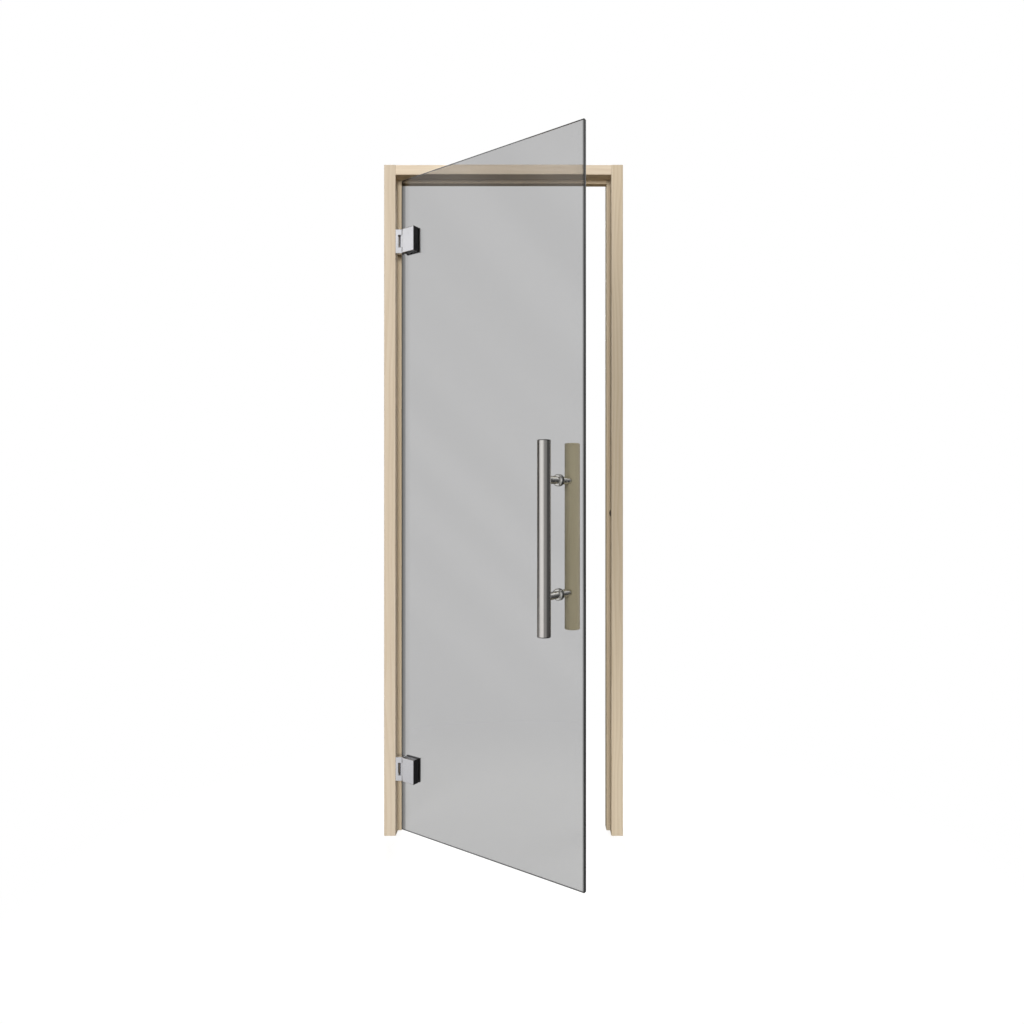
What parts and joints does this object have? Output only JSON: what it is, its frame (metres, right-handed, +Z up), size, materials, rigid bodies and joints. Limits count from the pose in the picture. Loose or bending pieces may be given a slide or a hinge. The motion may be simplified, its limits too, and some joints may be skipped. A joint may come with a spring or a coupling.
{
  "type": "sauna door",
  "caption": "Sauna door: frameless smoked glass leaf, part open on clamp hinges in a rebated timber frame, with a through-glass pull, steel bar outside and wooden bar inside.",
  "frame": {"origin": "on the outer face of the hinge jamb, at floor level, in the middle of its depth", "axes": "+X from the hinge jamb to the latch jamb, +Y through the doorway into the sauna, +Z up"},
  "size_m": [0.7, 0.4186, 1.965],
  "materials": {
    "frame_wood": "bare planed pale hardwood",
    "screw_steel": "bright zinc",
    "black_plastic": "moulded, satin black",
    "hinge_chrome": "polished chrome plate",
    "pin_steel": "ground bright steel",
    "black_gasket": "matt sheet rubber",
    "smoked_glass": "toughened, grey tint, polished edges",
    "brushed_steel": "satin, brushed along its length",
    "pull_wood": "turned, sanded and waxed",
    "polished_steel": "polished stainless steel",
    "clear_plastic": "clear moulded sleeve"
  },
  "bodies": {
    "frame": {"hinge_jamb": "frame_wood", "latch_jamb": "frame_wood", "head_rail": "frame_wood", "hinge_stop": "frame_wood", "latch_stop": "frame_wood", "head_stop": "frame_wood", "corner_screws_left": "screw_steel", "corner_screws_right": "screw_steel", "hinge_base_screws_lower": "screw_steel", "hinge_base_screws_upper": "screw_steel", "door_catch": "black_plastic", "hinge_base_lower": "hinge_chrome", "hinge_base_upper": "hinge_chrome", "hinge_pin_lower": "pin_steel", "hinge_pin_upper": "pin_steel"},
    "leaf": {"glass_leaf": "smoked_glass", "pull_bar_steel": "brushed_steel", "pull_cap_lower": "brushed_steel", "pull_cap_upper": "brushed_steel", "pull_bar_wood": "pull_wood", "outer_post_lower": "polished_steel", "outer_post_upper": "polished_steel", "inner_post_lower": "polished_steel", "inner_post_upper": "polished_steel", "outer_rosette_lower": "polished_steel", "outer_rosette_upper": "polished_steel", "inner_rosette_lower": "polished_steel", "inner_rosette_upper": "polished_steel", "glass_bush_lower": "clear_plastic", "glass_bush_upper": "clear_plastic", "hinge_outer_gasket_lower": "black_gasket", "hinge_outer_gasket_upper": "black_gasket", "hinge_inner_gasket_lower": "black_gasket", "hinge_inner_gasket_upper": "black_gasket", "hinge_end_cap_lower": "black_plastic", "hinge_end_cap_upper": "black_plastic", "hinge_block_lower": "hinge_chrome", "hinge_block_upper": "hinge_chrome", "hinge_back_plate_lower": "hinge_chrome", "hinge_back_plate_upper": "hinge_chrome", "hinge_clamp_screws_lower": "screw_steel", "hinge_clamp_screws_upper": "screw_steel", "pull_stud_lower": "pin_steel", "pull_stud_upper": "pin_steel"}
  },
  "joints": [
    {"name": "leaf_swing", "type": "hinge", "parent": "frame", "child": "leaf", "pos_m": [0.051, -0.026, 0.968], "axis": [0, 0, -1], "range_deg": [-33.5, 56.5]}
  ]
}
